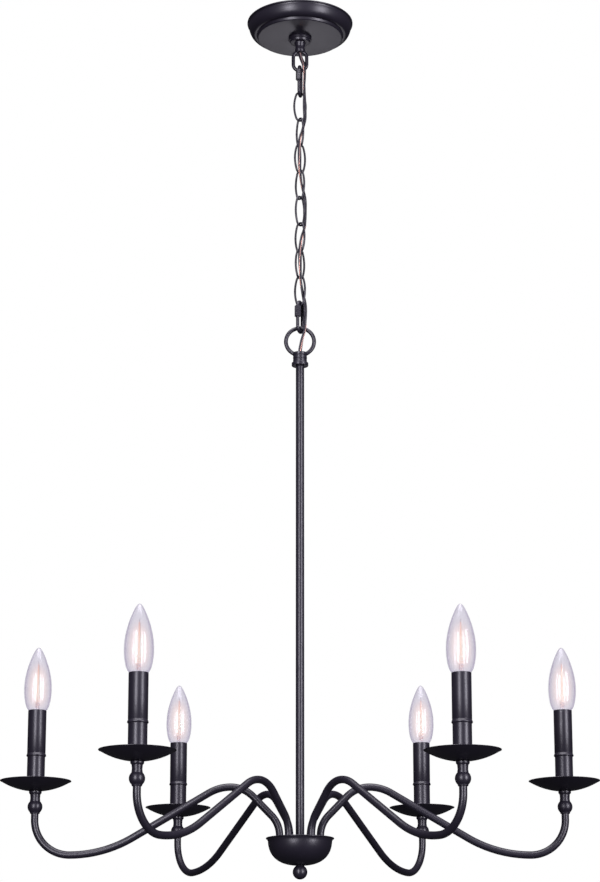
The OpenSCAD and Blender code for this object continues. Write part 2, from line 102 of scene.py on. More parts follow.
class Recipe:  # the node tree of one material, or of the sky
    def __init__(self, name, sky=False):
        self.owner = (bpy.data.worlds if sky else bpy.data.materials).new(name)
        self.owner.use_nodes = True
        self.tree = self.owner.node_tree
        self.ending = "OutputWorld" if sky else "OutputMaterial"
        self.tree.nodes.clear()

    def add(self, kind, settings, sockets, out=0):
        node = self.tree.nodes.new("ShaderNode" + kind)
        for key, value in settings.items():
            setattr(node, key, value)
        for key, value in sockets.items():
            if isinstance(value, Signal):
                self.tree.links.new(value.socket, node.inputs[key])
            else:
                node.inputs[key].default_value = value
        return Signal(self, node.outputs[out]) if node.outputs else None

    def grid(self):
        return self.add("TexCoord", {}, {}, "Object")

    def noise(self, scale, detail=2.0, stretch=(1, 1, 1)):
        placed = self.add("Mapping", {}, {"Vector": self.grid(), "Scale": stretch})
        return self.add("TexNoise", {}, {"Vector": placed, "Scale": scale, "Detail": detail}, "Fac")

    def between(self, mask, first, second):  # two colours mixed by a mask
        return self.add("Mix", {"data_type": "RGBA"}, {0: mask, 6: (*first, 1), 7: (*second, 1)}, 2)

    def bump(self, height, strength, depth):
        return self.add("Bump", {}, {"Height": height, "Strength": strength, "Distance": depth})

    def principled(self, sockets):
        return self.add("BsdfPrincipled", {}, sockets)

    def finish(self, shader):
        self.add(self.ending, {}, {"Surface": shader})
        return self.owner


blackCoat = {"dark": (0.0135, 0.0115, 0.0185), "light": (0.021, 0.0185, 0.029), "roughness": 0.36,
             "specular": 0.62, "peel": 1500, "peelDepth": 0.00006, "peelStrength": 0.12, "specks": 6200}


def satinBlack():
    coat = Recipe("satin black powder coat")
    cloud = coat.noise(22, 3.0)
    peel = coat.noise(blackCoat["peel"], 1.0)
    specks = coat.noise(blackCoat["specks"], 1.0)
    tone = cloud * 0.7 + specks * 0.3
    return coat.finish(coat.principled({
        "Base Color": coat.between(tone, blackCoat["dark"], blackCoat["light"]),
        "Roughness": (cloud - 0.5) * 0.08 + (specks - 0.5) * 0.05 + blackCoat["roughness"],
        "Specular IOR Level": blackCoat["specular"],
        "Normal": coat.bump(peel + specks * 0.35, blackCoat["peelStrength"], blackCoat["peelDepth"])}))


def zincPlate():
    zinc = Recipe("zinc plated steel")
    brushed = zinc.noise(420, 3.0, (1, 6, 6))
    stain = zinc.noise(95, 4.0)
    return zinc.finish(zinc.principled({
        "Base Color": zinc.between(stain, (0.50, 0.50, 0.48), (0.70, 0.69, 0.64)),
        "Metallic": 1.0, "Roughness": brushed * 0.18 + stain * 0.1 + 0.2,
        "Normal": zinc.bump(brushed, 0.25, 0.00005)}))


def greenScrew():
    green = Recipe("green passivated steel")
    stain = green.noise(380, 3.0)
    return green.finish(green.principled({
        "Base Color": green.between(stain, (0.01, 0.13, 0.035), (0.03, 0.30, 0.08)),
        "Metallic": 0.7, "Roughness": stain * 0.2 + 0.25}))


def brass(name, dark, light):
    metal = Recipe(name)
    drawn = metal.noise(260, 3.0, (1, 1, 8))
    stain = metal.noise(130, 4.0)
    return metal.finish(metal.principled({
        "Base Color": metal.between(stain, dark, light),
        "Metallic": 1.0, "Roughness": drawn * 0.16 + stain * 0.12 + 0.14,
        "Normal": metal.bump(drawn, 0.2, 0.00004)}))


def moulded(name, dark, light, roughness, grain):
    plastic = Recipe(name)
    pores = plastic.noise(grain, 3.0)
    cloud = plastic.noise(40, 2.0)
    return plastic.finish(plastic.principled({
        "Base Color": plastic.between(cloud, dark, light),
        "Roughness": (pores - 0.5) * 0.1 + roughness,
        "Normal": plastic.bump(pores, 0.3, 0.00005)}))


def clearJacket():
    clear = Recipe("clear vinyl jacket")
    haze = clear.noise(300, 2.0)
    facing = clear.add("LayerWeight", {}, {"Blend": 0.4}, "Facing")
    return clear.finish(clear.principled({
        "Base Color": clear.between(haze, (0.78, 0.60, 0.58), (0.86, 0.72, 0.70)),
        "Roughness": haze * 0.1 + 0.12, "Alpha": facing * 0.35 + 0.22}))


# lamp glass: clear through a painted white glow at its heart, with a lilac film that deepens to its edges;
# the film's lilac, and the blush round the heart, are painted glow from its emission
lampGlass = {"lilac": (0.43, 0.38, 0.53), "blushGlow": (0.92, 0.44, 0.34), "film": 0.17, "edge": 0.36,
             "glowHeight": 0.021, "glowWidth": 9, "sheen": 0.02, "rimSheen": 0.3,
             "body": (0.05, 0.05, 0.06, 1), "gloss": (0.9, 0.88, 0.95, 1), "ripple": 160,
             "rippleDepth": 0.0002}


def clearGlass(candleFoot, glowMiddle):
    glass = Recipe("clear lamp glass")
    facing = glass.add("LayerWeight", {}, {"Blend": 0.5}, "Facing")
    height = glass.add("SeparateXYZ", {}, {"Vector": glass.grid()}, "Z") - (candleFoot + glowMiddle)
    reach = height / lampGlass["glowHeight"]
    # painted glow: a soft white core of filament light, centred at the lamp's glow height, where the glass
    # turns clear
    paintedGlow = (1 - facing) ** lampGlass["glowWidth"] * bellBase ** (0 - reach * reach * reach * reach)
    ripple = glass.noise(lampGlass["ripple"], 2.0)
    bumped = glass.bump(ripple, 0.1, lampGlass["rippleDepth"])
    # the film's emission is painted light: a lilac glow everywhere, turning blush round the painted white
    # core
    film = glass.principled({
        "Base Color": lampGlass["body"], "Roughness": 0.2,
        "Emission Color": glass.between(paintedGlow ** 0.5, lampGlass["lilac"], lampGlass["blushGlow"]),
        "Emission Strength": 1.0, "Normal": bumped})
    sheen = glass.principled({"Base Color": lampGlass["gloss"], "Metallic": 1.0,
                              "Roughness": ripple * 0.06 + 0.1, "Normal": bumped})
    clear = glass.add("BsdfTransparent", {}, {})
    # the film thins away inside the painted glow core
    thick = (1 - paintedGlow) * (facing ** 3 * lampGlass["edge"] + lampGlass["film"])
    filmed = glass.add("MixShader", {}, {0: thick, 1: clear, 2: film})
    shine = facing ** 3 * lampGlass["rimSheen"] + lampGlass["sheen"]
    return glass.finish(glass.add("MixShader", {}, {0: shine, 1: filmed, 2: sheen}))


def glowing(name, colour, strength):
    hot = Recipe(name)
    flicker = hot.noise(900, 1.0)
    cooler = tuple(channel * 0.8 for channel in colour)
    return hot.finish(hot.principled({
        "Base Color": (0.2, 0.12, 0.08, 1), "Roughness": 0.5,
        "Emission Color": hot.between(flicker, cooler, colour), "Emission Strength": strength}))


# every outline and path below is in millimetres; build() turns them into metres


def rounded(outline, steps=6):  # a corner with a third number is rounded to that radius
    result = []
    for index, corner in enumerate(outline):
        here = Vector(corner[:2])
        if len(corner) == 2:
            result.append(here)
            continue
        toLast = (Vector(outline[index - 1][:2]) - here).normalized()
        toNext = (Vector(outline[(index + 1) % len(outline)][:2]) - here).normalized()
        half = toLast.angle(toNext) / 2
        middle = here + (toLast + toNext).normalized() * (corner[2] / sin(half))
        start = here + toLast * (corner[2] / tan(half)) - middle
        end = here + toNext * (corner[2] / tan(half)) - middle
        first = atan2(start.y, start.x)
        sweep = atan2(start.x * end.y - start.y * end.x, start.dot(end))
        for step in range(steps + 1):
            angle = first + sweep * step / steps
            result.append(middle + corner[2] * Vector((cos(angle), sin(angle))))
    return result


def lathed(outline, foot=(0, 0, 0), segments=96):  # turns (radius, height) points about the vertical
    points, rings, faces = [], [], []
    for radius, height in outline:
        count = 1 if radius < 1e-4 else segments
        rings.append([len(points) + k for k in range(count)])
        for k in range(count):
            angle = 2 * pi * k / segments
            points.append(Vector(foot) + Vector((radius * cos(angle), radius * sin(angle), height)))
    pairs = list(zip(rings, rings[1:]))
    if len(rings[0]) > 1 and len(rings[-1]) > 1:
        pairs.append((rings[-1], rings[0]))
    for low, high in pairs:
        for k in range(segments):
            n = (k + 1) % segments
            if len(low) == 1:
                faces.append((low[0], high[n], high[k]))
            elif len(high) == 1:
                faces.append((low[k], low[n], high[0]))
            else:
                faces.append((low[k], low[n], high[n], high[k]))
    return points, faces


def circle(radius, sides):
    return [(radius * cos(2 * pi * k / sides), radius * sin(2 * pi * k / sides)) for k in range(sides)]


def framesAlong(path, helper, closed):
    count = len(path)
    for k, here in enumerate(path):
        before = path[k - 1] if closed or k > 0 else here
        after = path[(k + 1) % count] if closed or k < count - 1 else here
        along = (after - before).normalized()
        side = Vector(helper).cross(along).normalized()
        yield here, side, along.cross(side)


def swept(path, section, helper, closed=False, bore=None, swell=None):
    points, faces = [], []
    sides, count = len(section), len(path)
    for offsets in [section] + ([bore] if bore else []):
        for k, (here, side, up) in enumerate(framesAlong(path, helper, closed)):
            scale = swell(k) if swell else 1
            points += [here + (side * a + up * b) * scale for a, b in offsets]
    loops = count if closed else count - 1
    for layer in range(2 if bore else 1):
        base = layer * count * sides
        for k in range(loops):
            low, high = base + k * sides, base + (k + 1) % count * sides
            for s in range(sides):
                n = (s + 1) % sides
                faces.append((low + s, low + n, high + n, high + s))
    if not closed:
        for ring in (0, (count - 1) * sides):
            if bore:
                inner = ring + count * sides
                faces += [(ring + s, ring + (s + 1) % sides, inner + (s + 1) % sides, inner + s)
                          for s in range(sides)]
            else:
                faces.append(tuple(range(ring, ring + sides)))
    return points, faces


def turned(shell, angle=0.0, foot=(0, 0, 0)):  # a shell turned about the vertical, then moved
    spin = Matrix.Rotation(radians(angle), 3, "Z")
    return [spin @ point + Vector(foot) for point in shell[0]], shell[1]


def build(name, shells, materials, body, stands=(), sharp=38):
    # shells are (points, faces) or (points, faces, material number); the mesh is made in metres
    points, faces, numbers = [], [], []
    for shell in shells:
        base = len(points)
        points += [point * mm for point in shell[0]]
        faces += [[base + k for k in face] for face in shell[1]]
        numbers += [shell[2] if len(shell) > 2 else 0] * len(shell[1])
    mesh = bpy.data.meshes.new(name)
    mesh.from_pydata(points, [], faces)
    for material in materials:
        mesh.materials.append(material)
    mesh.polygons.foreach_set("material_index", numbers)
    whole = bmesh.new()
    whole.from_mesh(mesh)
    bmesh.ops.recalc_face_normals(whole, faces=whole.faces)
    whole.to_mesh(mesh)
    whole.free()
    mesh.shade_smooth()
    mesh.set_sharp_from_angle(angle=radians(sharp))
    piece = bpy.data.objects.new(name, mesh)
    bpy.context.scene.collection.objects.link(piece)
    if body:
        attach(piece, body)
    if stands:
        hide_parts(*stands)
    return piece


def arc(middle, radius, first, last, steps):  # in the X-Z plane, angles in degrees from +X towards +Z
    angles = [radians(first + (last - first) * k / steps) for k in range(steps + 1)]
    return [Vector((middle[0] + radius * cos(a), 0, middle[1] + radius * sin(a))) for a in angles]


def straight(first, last, steps):
    return [first.lerp(last, k / steps) for k in range(steps + 1)]


def joined(*stretches):  # stretches end to end, each shared point kept once
    path = list(stretches[0])
    for stretch in stretches[1:]:
        path += stretch[1:] if (stretch[0] - path[-1]).length < 1e-3 else stretch
    return path


black = satinBlack()
brassShell = brass("drawn brass", (0.52, 0.36, 0.13), (0.80, 0.62, 0.30))
lampCap = brass("nickelled lamp cap", (0.60, 0.56, 0.48), (0.80, 0.77, 0.70))
copper = brass("bare copper strands", (0.62, 0.26, 0.17), (0.86, 0.44, 0.32))
cordJacket = moulded("dark cord jacket", (0.016, 0.014, 0.020), (0.030, 0.027, 0.036), 0.34, 1600)
leadJacket = moulded("lead insulation", (0.020, 0.018, 0.016), (0.045, 0.040, 0.035), 0.45, 1400)
phenolic = moulded("moulded phenolic", (0.016, 0.011, 0.008), (0.032, 0.023, 0.017), 0.38, 1100)
blackGlass = moulded("black glass insulator", (0.004, 0.004, 0.006), (0.010, 0.009, 0.012), 0.12, 700)
vinyl = clearJacket()
zinc = zincPlate()
print("finishes made")

canopy = {"rim": 72, "height": 22, "sheet": 1.2, "side": 61, "coveWide": 9, "coveTall": 15.2,
          "face": 57.5, "hole": 12.5}


def makeCanopy():
    c = canopy
    top, low = -2.6, -c["height"]
    wide, tall, sheet = c["coveWide"], c["coveTall"], c["sheet"]
    cove = [(c["side"] + wide * cos(radians(a)), top - tall * sin(radians(a))) for a in range(0, 91, 6)]
    inner = [(c["side"] + (wide - sheet) * cos(radians(a)), top - (tall - sheet) * sin(radians(a)))
             for a in range(90, -1, -6)]
    outline = [(c["rim"], 0, 0.3), (c["rim"], -1.7, 0.8), (c["side"] + wide + 0.2, -2.2)] + cove
    outline += [(c["face"] + 1.2, -17.9, 0.7), (c["face"] + 0.2, low + 0.1, 1.6), (c["hole"], low),
                (c["hole"], low + sheet), (c["face"] - sheet, low + sheet, 0.6),
                (c["face"] - 0.4, -16.7, 0.6)] + inner + [(c["rim"] - 3.2, 0)]
    build("canopyShell", [lathed(rounded(outline), segments=160)], [black], "canopy", ("canopy",))
    nut = [(12.05, low), (15.4, low, 0.3), (15.7, low - 0.6, 0.3), (15.7, low - 2.9, 0.5),
           (14.9, low - 4, 0.5), (14.1, low - 4, 0.2), (13.3, low - 7, 0.6), (12.05, low - 7)]
    build("collarNut", [lathed(rounded(nut), segments=96)], [black], "canopy", ("collar_nut",))


loop = {"wire": 4.8, "middle": 9.1, "lowMiddle": -60.5, "straight": 10, "bore": 3.2, "thread": 12,
        "threadDepth": 0.22, "threadStep": 0.45, "threadRings": 26}


def makeLoop():
    threads = [(loop["thread"] - loop["threadDepth"] * (k % 2), -10.6 - loop["threadStep"] * k)
               for k in range(loop["threadRings"])]
    barrel = [(5.05, -19.9), (5.05, -10.4), (5.4, -10), (11.6, -10)] + threads
    barrel += [(11.9, -28.9, 0.3), (7.5, -29.1, 0.6), (6.4, -34.5, 2.5), (6.9, -39.5, 1.5),
               (6.5, -43.2, 1.1), (loop["bore"], -43.6), (loop["bore"], -19.9)]
    high = loop["lowMiddle"] + loop["straight"]
    r = loop["middle"]
    path = joined(arc((0, high), r, 62, 0, 14),
                  straight(Vector((r, 0, high)), Vector((r, 0, loop["lowMiddle"])), 6),
                  arc((0, loop["lowMiddle"]), r, 0, -180, 40),
                  straight(Vector((-r, 0, loop["lowMiddle"])), Vector((-r, 0, high)), 6),
                  arc((0, high), r, 180, 118, 14))
    shells = [lathed(rounded(barrel), segments=96), swept(path, circle(loop["wire"] / 2, 28), (0, 1, 0))]
    build("canopyLoop", shells, [black], "ceiling_mount", ("canopy_loop",))


quick = {"wire": 4.6, "across": 7.2, "half": 20.7, "gateLow": 2, "gateHigh": 10, "pitch": 0.8,
         "threadDepth": 0.045, "nutFoot": -1, "nutHeight": 14.4, "nutAcross": 3.98, "nutRibs": 5,
         "nutGroove": 0.22, "places": (("top_link", -85.3, 80), ("bottom_link", -422.6, 65))}


def quickWire():
    leg = quick["half"] - quick["across"]
    x = quick["across"]
    threadLow = straight(Vector((-x, 0, -leg)), Vector((-x, 0, quick["gateLow"])), 78)
    threadHigh = straight(Vector((-x, 0, quick["gateHigh"])), Vector((-x, 0, leg)), 18)
    path = joined(threadHigh, arc((0, leg), x, 180, 0, 36),
                  straight(Vector((x, 0, leg)), Vector((x, 0, -leg)), 10),
                  arc((0, -leg), x, 0, -180, 36), threadLow)

    def swell(k):  # ring threads on the two ends that the nut joins
        on = path[k].x < -x + 0.01 and abs(path[k].z) < leg - 0.5
        return 1 - quick["threadDepth"] * (0.5 - 0.5 * cos(2 * pi * path[k].z / quick["pitch"])) if on else 1

    return swept(path, circle(quick["wire"] / 2, 28), (0, 1, 0), swell=swell)


def hexNut(flats, low, high, bore, ribs=0, sides=72, chamfer=0.4):
    edge, shoulder = 0.12, chamfer + 0.3
    heights = [0, edge, chamfer, shoulder]
    if ribs:
        pitch = (high - low - 2 * heights[-1]) / ribs
        heights += [heights[-1] + pitch * (k + part) for k in range(ribs) for part in (0.34, 0.5, 0.66)]
    heights += [high - low - h for h in (shoulder, chamfer, edge, 0)]
    points, faces = [], []
    for index, height in enumerate(heights):
        fromEnd = min(height, high - low - height)
        cone = flats * 1.02 + fromEnd * 0.32 / chamfer
        groove = quick["nutGroove"] if ribs and 4 <= index < len(heights) - 4 and (index - 4) % 3 == 1 else 0
        for s in range(sides):
            angle = 2 * pi * s / sides
            flat = flats / cos((angle + pi / 6) % (pi / 3) - pi / 6)
            radius = min(flat, cone) - groove
            points.append(Vector((radius * cos(angle), radius * sin(angle), low + height)))
    rings = len(heights)
    for height in (high, low):
        points += [Vector((a, b, height)) for a, b in circle(bore, sides)]
    for k in range(rings + 2):
        here, there = k * sides, (k + 1) % (rings + 2) * sides
        faces += [(here + s, here + (s + 1) % sides, there + (s + 1) % sides, there + s)
                  for s in range(sides)]
    return points, faces


def makeQuickLinks():
    nut = hexNut(quick["nutAcross"], quick["nutFoot"], quick["nutFoot"] + quick["nutHeight"],
                 quick["wire"] / 2 + 0.05, quick["nutRibs"])
    nut = turned(nut, 0, (-quick["across"], 0, 0))
    for node, height, yaw in quick["places"]:
        name = "topQuickLink" if node == "top_link" else "bottomQuickLink"
        build(name, [turned(quickWire(), yaw, (0, 0, height))], [black], node, (node,))
        build(name + "Nut", [turned(nut, yaw, (0, 0, height))], [black], node + "_nut",
              (node + "_nut",), sharp=30)


chain = {"wire": 2.8, "halfWidth": 8, "halfHeight": 20.35, "endRadius": 5.5, "first": -122.35,
         "pitch": 37.6, "weldProud": 0.07, "weldReach": 0.9,
         "yaws": (12, -56, 32, -45, 45, -41, 45, -34)}


def chainPath():  # two tight ends joined by two long side arcs
    w, h, e = chain["halfWidth"], chain["halfHeight"], chain["endRadius"]
    side = (w * w + (h - e) ** 2 - e * e) / (2 * (w - e))
    angle = asin((h - e) / (side - e)) * 180 / pi
    path = joined(arc((w - side, 0), side, -angle, angle, 40), arc((0, h - e), e, angle, 180 - angle, 20),
                  arc((side - w, 0), side, 180 - angle, 180 + angle, 40),
                  arc((0, e - h), e, 180 + angle, 360 - angle, 20))
    return path[:-1]


def makeChain():
    path = chainPath()

    def seam(k):  # the butt weld on one side stands a little proud
        away = (path[k] - Vector((-chain["halfWidth"], 0, 0))).length / chain["weldReach"]
        return 1 + chain["weldProud"] * bellBase ** -away ** 2

    for k, yaw in enumerate(chain["yaws"]):
        link = swept(path, circle(chain["wire"] / 2, 22), (0, 1, 0), closed=True, swell=seam)
        node = f"chain_link_{k + 1}"
        build(f"chainLink{k + 1}", [turned(link, yaw, (0, 0, chain["first"] - k * chain["pitch"]))],
              [black], node, (node,))


cord = {"route": [(0, 0, -0.5), (0, 0, -20), (0, 0, -38), (0, 0, -46), (2, -3, -54), (4.6, -5.4, -62),
                  (6, -4.8, -72), (6.4, -4.4, -88), (6, -3.8, -104), (6.2, -3.2, -122),
                  (6.6, -2.8, -141), (4.9, -1.4, -150), (2, -2.8, -160), (-0.2, -4.6, -169),
                  (-0.8, -6.6, -179), (-0.6, -7.2, -197), (-0.2, -6.6, -216), (2.6, -2.6, -235),
                  (6.3, 0.2, -254), (6.6, 0.2, -273), (6.4, 0.6, -292), (4.6, 0.3, -300),
                  (2.2, -2.2, -310), (0.2, -6.4, -329), (0, -7.2, -348), (1, -6.2, -367),
                  (3, -2.2, -386), (6.5, 1.8, -404), (7, -1, -422), (6, -6, -441), (2.4, -6.4, -457),
                  (0.2, -5.2, -470), (0, -5.1, -477.5), (0, -4.1, -481.5), (0, -2.4, -485.5),
                  (0, -0.8, -490), (0, 0, -498), (0, 0, -520), (0, 0, -580), (0, 0, -760),
                  (0, 0, -1118)],
        "steps": 8, "length": 1127, "core": 1.15, "apart": 1.4, "web": 0.75, "earth": 0.68,
        "earthCopper": 0.42, "earthOut": 1.62, "turns": 7.88, "firstTurn": 36, "top": -46, "foot": -470}


def cordPoint(u):
    route = cord["route"]
    i = min(int(u), len(route) - 2)
    t = u - i
    a, b, c, d = (Vector(route[min(max(k, 0), len(route) - 1)]) for k in (i - 1, i, i + 1, i + 2))
    return (2 * b + (c - a) * t + (2 * a - 5 * b + 4 * c - d) * t * t
            + (3 * b - a - 3 * c + d) * t * t * t) / 2


def cordStrands():  # the strands' centre lines, twisted about the route
    steps = cord["steps"]
    count = (len(cord["route"]) - 1) * steps
    line = [cordPoint(k / steps) for k in range(count + 1)]
    left, right, earth, wides = [], [], [], []
    gone = 0
    for k, (here, side, up) in enumerate(framesAlong(line, (0, 1, 0), False)):
        gone += (here - line[max(k - 1, 0)]).length
        turn = radians(cord["firstTurn"] + 360 * cord["turns"] * gone / cord["length"])
        wide = side * cos(turn) + up * sin(turn)
        out = up * cos(turn) - side * sin(turn)
        left.append(here + wide * cord["apart"])
        right.append(here - wide * cord["apart"])
        earth.append(here + out * cord["earthOut"])
        wides.append(wide)
    return line, left, right, earth, wides


def makeCord():
    line, left, right, earth, wides = cordStrands()
    cuts = [chain["first"] - chain["pitch"] * k for k in range(8)]
    cuts = [quick["places"][0][1]] + cuts + [quick["places"][1][1]]
    bodies = ["ceiling_mount", "top_link"] + [f"chain_link_{k}" for k in range(1, 9)]
    bodies += ["bottom_link", "frame"]
    tops = [cord["top"]] + cuts
    feet = cuts + [cord["foot"]]
    webSection = [(a * cord["apart"], b * cord["web"]) for a, b in ((1, 1), (-1, 1), (-1, -1), (1, -1))]
    first = 0
    for k, foot in enumerate(feet):
        last = len(line) - 1
        if k < len(feet) - 1:
            last = min(range(len(line)), key=lambda j: abs(line[j].z - foot))
        part = slice(first, last + 1)
        first = last
        shells = [swept(core[part], circle(cord["core"], 14), (0, 1, 0)) + (0,) for core in (left, right)]
        shells.append(ribbon(line[part], wides[part], webSection) + (0,))
        shells.append(swept(earth[part], circle(cord["earth"], 12), (0, 1, 0)) + (1,))
        shells.append(swept(earth[part], circle(cord["earthCopper"], 10), (0, 1, 0)) + (2,))
        piece = build(f"supplyCord{k + 1}", shells, [cordJacket, vinyl, copper], None,
                      ("supply_cord",))
        bodies[k + 1]
        tops[k] * mm
        foot * mm
        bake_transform(piece)
    length = sum((b - a).length for a, b in zip(line, line[1:]))
    print(f"supply cord: {length:.0f} mm along its route")


def ribbon(line, wide, section):  # the web between the two cores
    points, faces = [], []
    for k, here in enumerate(line):
        along = line[min(k + 1, len(line) - 1)] - line[max(k - 1, 0)]
        thick = wide[k].cross(along).normalized()
        points += [here + wide[k] * a + thick * b for a, b in section]
    for k in range(len(line) - 1):
        faces += [(4 * k + s, 4 * k + (s + 1) % 4, 4 * k + 4 + (s + 1) % 4, 4 * k + 4 + s) for s in range(4)]
    last = 4 * (len(line) - 1)
    return points, faces + [(0, 1, 2, 3), (last, last + 1, last + 2, last + 3)]


makeCord()
makeCanopy()
makeLoop()
makeQuickLinks()
makeChain()
print("cord, canopy, loop and chain built")

ring = {"wire": 5.3, "radius": 18.65, "middle": -456.7, "weldProud": 0.03}
stem = {"radius": 5.5, "bore": 3.5, "top": -486.05, "foot": -1142.6}


def makeRing():
    path = arc((0, ring["middle"]), ring["radius"], -90, 270, 120)[:-1]

    def seam(k):  # the weld, hidden in the collar's saddle
        return 1 + ring["weldProud"] * bellBase ** -(min(k, len(path) - k) / 2) ** 2

    build("hangingRing", [swept(path, circle(ring["wire"] / 2, 32), (0, 1, 0), closed=True, swell=seam)],
          [black], "frame", ("hanging_ring",))


def makeCollar():  # ribbed ferrule, its flange, and the saddle that holds the ring's foot
    top = -472.35
    outline = [(5.6, -490.6), (10.6, -490.65, 0.4), (11, -490.2, 0.4), (11, -486.4, 0.5), (9.2, -485.75, 0.3)]
    for band in range(3):
        low = -485.85 + 4.8 * band
        outline += [(9.2, low + 0.3, 0.25), (9.2, low + 3.7, 0.3), (8.6, low + 4.1, 0.15),
                    (8.6, low + 4.6, 0.15)]
    outline = outline[:-2] + [(9.2, top - 0.1, 0.9), (7.4, top + 0.5, 0.5), (4.4, top + 0.2, 0.6),
                              (4.4, -478.4), (5.6, -478.8)]
    build("ringCollar", [lathed(rounded(outline), segments=96)], [black], "frame", ("ring_collar",))


def makeStem():
    s = stem
    outline = [(s["bore"], s["foot"], 0.3), (s["radius"], s["foot"], 0.4), (s["radius"], s["foot"] + 30),
               (s["radius"], s["top"] - 30), (s["radius"], s["top"], 0.4), (s["bore"], s["top"], 0.3)]
    build("stemRod", [lathed(rounded(outline), segments=64)], [black], "frame", ("stem",))


makeRing()
makeCollar()
makeStem()

hub = {"rim": 43.3, "bowl": 40.7, "sheet": 1.2, "top": -1113.6, "depth": 34.6, "square": 2.5, "hole": 4.3,
       "ball": 9.25, "ballMiddle": -1156.5}


def bowlLine(radius, depth, least, steps=40):  # a squarish bowl, from near its rim to its middle
    line = []
    for k in range(2, steps + 1):
        angle = pi / 2 * k / steps
        place = radius * cos(angle) ** (2 / hub["square"])
        line.append((max(place, least), hub["top"] - depth * sin(angle) ** (2 / hub["square"])))
    return line


def makeHub():
    h, top = hub, hub["top"]
    outline = [(h["bowl"] - 1.4, top - 0.35, 0.4), (h["rim"] - 0.3, top, 0.35), (h["rim"], top - 1.1, 0.5),
               (h["bowl"] + 0.9, top - 1.9, 0.8), (h["bowl"] + 0.1, top - 3.9, 1.6)]
    outline += bowlLine(h["bowl"], h["depth"], h["hole"])
    outline += bowlLine(h["bowl"] - h["sheet"], h["depth"] - h["sheet"], h["hole"])[::-1]
    build("hubCup", [lathed(rounded(outline), segments=144)], [black], "frame", ("hub_cup",))
    ball, middle = h["ball"], h["ballMiddle"]
    outline = [(0, middle - ball)]
    outline += [(ball * sin(radians(a)), middle - ball * cos(radians(a))) for a in range(5, 146, 5)]
    spigot = stem["foot"] + 9.9
    outline += [(5.2, -1148.35, 0.3), (3.3, -1148.3), (3.25, spigot, 0.3), (0, spigot)]
    build("ballFinial", [lathed(rounded(outline), segments=96)], [black], "frame", ("finial",))


makeHub()

candleRing = {"radius": 335.7, "rim": -1041, "angles": (0, 59.6, 120.4, 180, 236.1, 303.9)}
arm = {"radius": 4.75, "bore": 3.65, "hub": 25.8, "rootBend": 36, "rootHeight": -69.5, "crownIn": 40,
       "crownOut": 54, "crownPlace": 88, "crownHeight": -8.2, "sweep": 156, "candleBend": 44.7,
       "low": -94.1, "foot": -95.6, "top": -27.2, "lead": 0.78, "leadApart": 0.8}


def armPath(foot, top):  # heights from the pan rims; out of the hub, over the crown, down and up again
    a = arm
    rootMiddle = a["hub"] + a["rootBend"]
    lowPlace = candleRing["radius"] - a["candleBend"]
    acrossOut = lowPlace - a["crownPlace"]
    dropOut = a["low"] + a["sweep"] - a["crownHeight"] + a["crownOut"]
    outAngle = asin((a["sweep"] + a["crownOut"]) / hypot(acrossOut, dropOut)) - atan2(dropOut, acrossOut)
    acrossIn = a["crownPlace"] - rootMiddle
    riseIn = a["crownHeight"] - a["crownIn"] - a["rootHeight"]
    inAngle = atan2(riseIn, acrossIn) + asin((a["crownIn"] - a["rootBend"]) / hypot(acrossIn, riseIn))
    inward, outward = degrees(inAngle), degrees(outAngle)
    root = arc((rootMiddle, a["rootHeight"]), a["rootBend"], 180, 90 + inward, 24)
    crownIn = arc((a["crownPlace"], a["crownHeight"] - a["crownIn"]), a["crownIn"], 90 + inward, 90, 24)
    crownOut = arc((a["crownPlace"], a["crownHeight"] - a["crownOut"]), a["crownOut"], 90, 90 - outward, 24)
    sweep = arc((lowPlace, a["low"] + a["sweep"]), a["sweep"], 270 - outward, 270, 30)
    bend = arc((lowPlace, a["low"] + a["candleBend"]), a["candleBend"], 270, 360, 32)
    path = joined(straight(Vector((a["hub"], 0, foot)), root[0], 4), root, straight(root[-1], crownIn[0], 6),
                  crownIn, crownOut, straight(crownOut[-1], sweep[0], 10), sweep, bend,
                  straight(bend[-1], Vector((candleRing["radius"], 0, top)), 4))
    return [Vector((p.x, 0, p.z + candleRing["rim"])) for p in path]


def makeArms():
    tube = swept(armPath(arm["foot"], arm["top"]), circle(arm["radius"], 32), (0, 1, 0),
                 bore=circle(arm["bore"], 32))
    leads = []
    for side in (-1, 1):  # two insulated leads lie side by side in each tube
        path = [p + Vector((0, side * arm["leadApart"], 0)) for p in armPath(arm["foot"] - 3, 4)]
        leads.append(swept(path, circle(arm["lead"], 10), (0, 1, 0)))
    everyLead = []
    for k, angle in enumerate(candleRing["angles"]):
        build(f"armTube{k + 1}", [turned(tube, angle)], [black], "frame", (f"arm_{k + 1}",))
        everyLead += [turned(lead, angle) for lead in leads]
    build("armLeads", everyLead, [leadJacket], "frame", ("arm_wires",))


makeArms()
print("ring, stem, hub and arms built")

pan = {"rim": 45.3, "depth": 13.2, "sheet": 1.2, "hole": 4.85}
sleeve = {"radius": 11.65, "low": 11.25, "wall": 0.75, "top": 90, "bead": 32, "beadRadius": 1.5,
          "beadSunk": 0.6, "line": 35.2, "lineDepth": 0.22, "seat": -10.15, "seatBore": 10.5}


def panOutline():
    bowl = (pan["rim"] ** 2 + pan["depth"] ** 2) / (2 * pan["depth"])
    reach = asin((pan["rim"] - 0.55) / bowl)
    under, over = [], []
    for k in range(41):
        angle = reach * k / 40
        under.append((max(bowl * sin(angle), pan["hole"]), bowl - pan["depth"] - bowl * cos(angle)))
        inner = bowl - pan["sheet"]
        angle = asin((pan["rim"] - 1.9) / inner) * k / 40
        over.append((max(inner * sin(angle), pan["hole"]), bowl - pan["depth"] - inner * cos(angle)))
    lip = [(pan["rim"] - 0.08, -0.42), (pan["rim"] - 0.12, -0.1), (pan["rim"] - 0.6, 0),
           (pan["rim"] - 1.3, -0.12)]  # the rolled edge
    return under[4:] + lip + over[4:][::-1]


